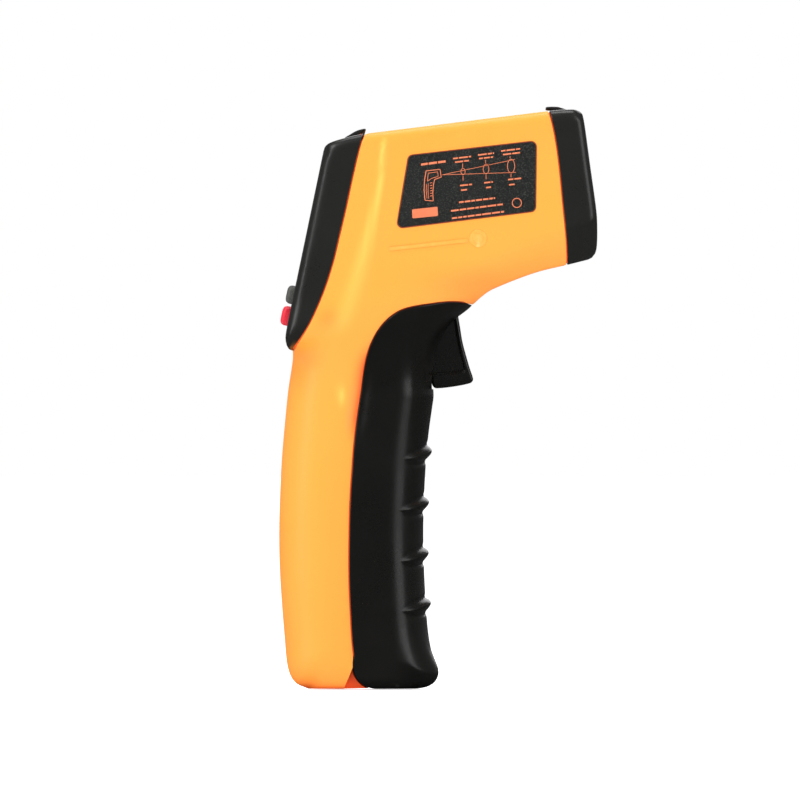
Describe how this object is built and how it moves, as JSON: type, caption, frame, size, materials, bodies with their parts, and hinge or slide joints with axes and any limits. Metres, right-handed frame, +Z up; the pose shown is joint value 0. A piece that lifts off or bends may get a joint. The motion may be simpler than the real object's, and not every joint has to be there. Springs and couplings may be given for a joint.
{
  "type": "infrared thermometer",
  "caption": "Pistol-grip infrared thermometer with a display and keys at the back, a lens and laser pointer at the nose, a trigger and a hinged battery door.",
  "frame": {"origin": "on the flat base face of the grip, in the plane between the housing halves, just behind the battery door's hinge", "axes": "+X the way the nose aims, seen from above; +Z up, with the object standing on its base; +Y to the object's left; Y = 0 is the plane where the halves meet"},
  "size_m": [0.0837, 0.0434, 0.1533],
  "materials": {
    "orange_shell": "satin moulded ABS, fine texture",
    "black_shell": "satin moulded ABS, fine texture",
    "window": "polished clear cover",
    "steel": "zinc plated steel",
    "grey_key": "soft grey key",
    "red_key": "soft red key",
    "ivory": "natural nylon",
    "switch_body": "moulded switch body",
    "lcd": "reflective liquid crystal glass",
    "white_plastic": "diffusing light guide",
    "elastomer": "layered connector strip",
    "pcb": "solder-masked laminate",
    "chip": "black moulding compound",
    "dark_plastic": "moulded internal plastic",
    "ir_lens": "infrared-clear moulded lens",
    "aluminium_ring": "turned ring",
    "sensor_can": "gold-plated metal can",
    "brass_body": "turned brass",
    "laser_lens": "clear lens",
    "cell_jacket": "printed foil jacket, no text",
    "lead_red": "insulated lead",
    "lead_white": "insulated leads",
    "lead_dark": "insulated leads",
    "label": null
  },
  "bodies": {
    "case": {"housing_right": "orange_shell", "housing_left": "orange_shell", "nose_cap": "black_shell", "display_bezel": "black_shell", "display_window": "window", "door_hinge_pin": "steel", "trigger_pin": "steel", "trigger_spring": "steel", "key_switches": "switch_body", "lcd_glass": "lcd", "backlight_panel": "white_plastic", "zebra_strip": "elastomer", "main_pcb": "pcb", "controller_chip": "chip", "buzzer": "chip", "pcb_screws": "steel", "trigger_switch": "switch_body", "optic_tube": "dark_plastic", "ir_lens": "ir_lens", "lens_retaining_ring": "aluminium_ring", "thermopile_sensor": "sensor_can", "sensor_pcb": "pcb", "laser_module": "brass_body", "laser_lens": "laser_lens", "laser_holder": "dark_plastic", "battery_cell_left": "cell_jacket", "battery_cell_right": "cell_jacket", "battery_tray": "dark_plastic", "battery_springs": "steel", "battery_contact_plate": "steel", "battery_leads": "lead_red", "laser_leads": "lead_red", "sensor_leads": "lead_white", "switch_leads": "lead_dark", "label_right": "label", "label_left": "label", "housing_screws": "steel"},
    "battery_door": {"battery_door": "black_shell"},
    "trigger": {"trigger": "black_shell"},
    "button_left": {"button_left": "grey_key", "key_stem_left": "ivory"},
    "button_right": {"button_right": "grey_key", "key_stem_right": "ivory"},
    "button_red": {"button_red": "red_key", "key_stem_red": "ivory"},
    "trigger_switch_plunger": {"trigger_switch_plunger": "ivory"}
  },
  "joints": [
    {"name": "battery_door_hinge", "type": "hinge", "parent": "case", "child": "battery_door", "pos_m": [0.0036, 0, 0.0062], "axis": [0, 1, 0], "range_deg": [0, 42]},
    {"name": "trigger_pull", "type": "hinge", "parent": "case", "child": "trigger", "pos_m": [0.021, 0, 0.103], "axis": [0, 1, 0], "range_deg": [0, 9], "deforming": ["trigger_spring"]},
    {"name": "trigger_switch_travel", "type": "slide", "parent": "case", "child": "trigger_switch_plunger", "axis": [0, 0, 1], "range_m": [0, 0.00112]},
    {"name": "button_left_press", "type": "slide", "parent": "case", "child": "button_left", "axis": [0.9783, 0, -0.2071], "range_m": [0, 0.0008]},
    {"name": "button_right_press", "type": "slide", "parent": "case", "child": "button_right", "axis": [0.9783, 0, -0.2071], "range_m": [0, 0.0008]},
    {"name": "button_red_press", "type": "slide", "parent": "case", "child": "button_red", "axis": [0.9783, 0, -0.2071], "range_m": [0, 0.0008]}
  ],
  "couplings": [
    {"joint": "trigger_switch_travel", "follows": "trigger_pull", "m_per_rad": 0.0068}
  ]
}
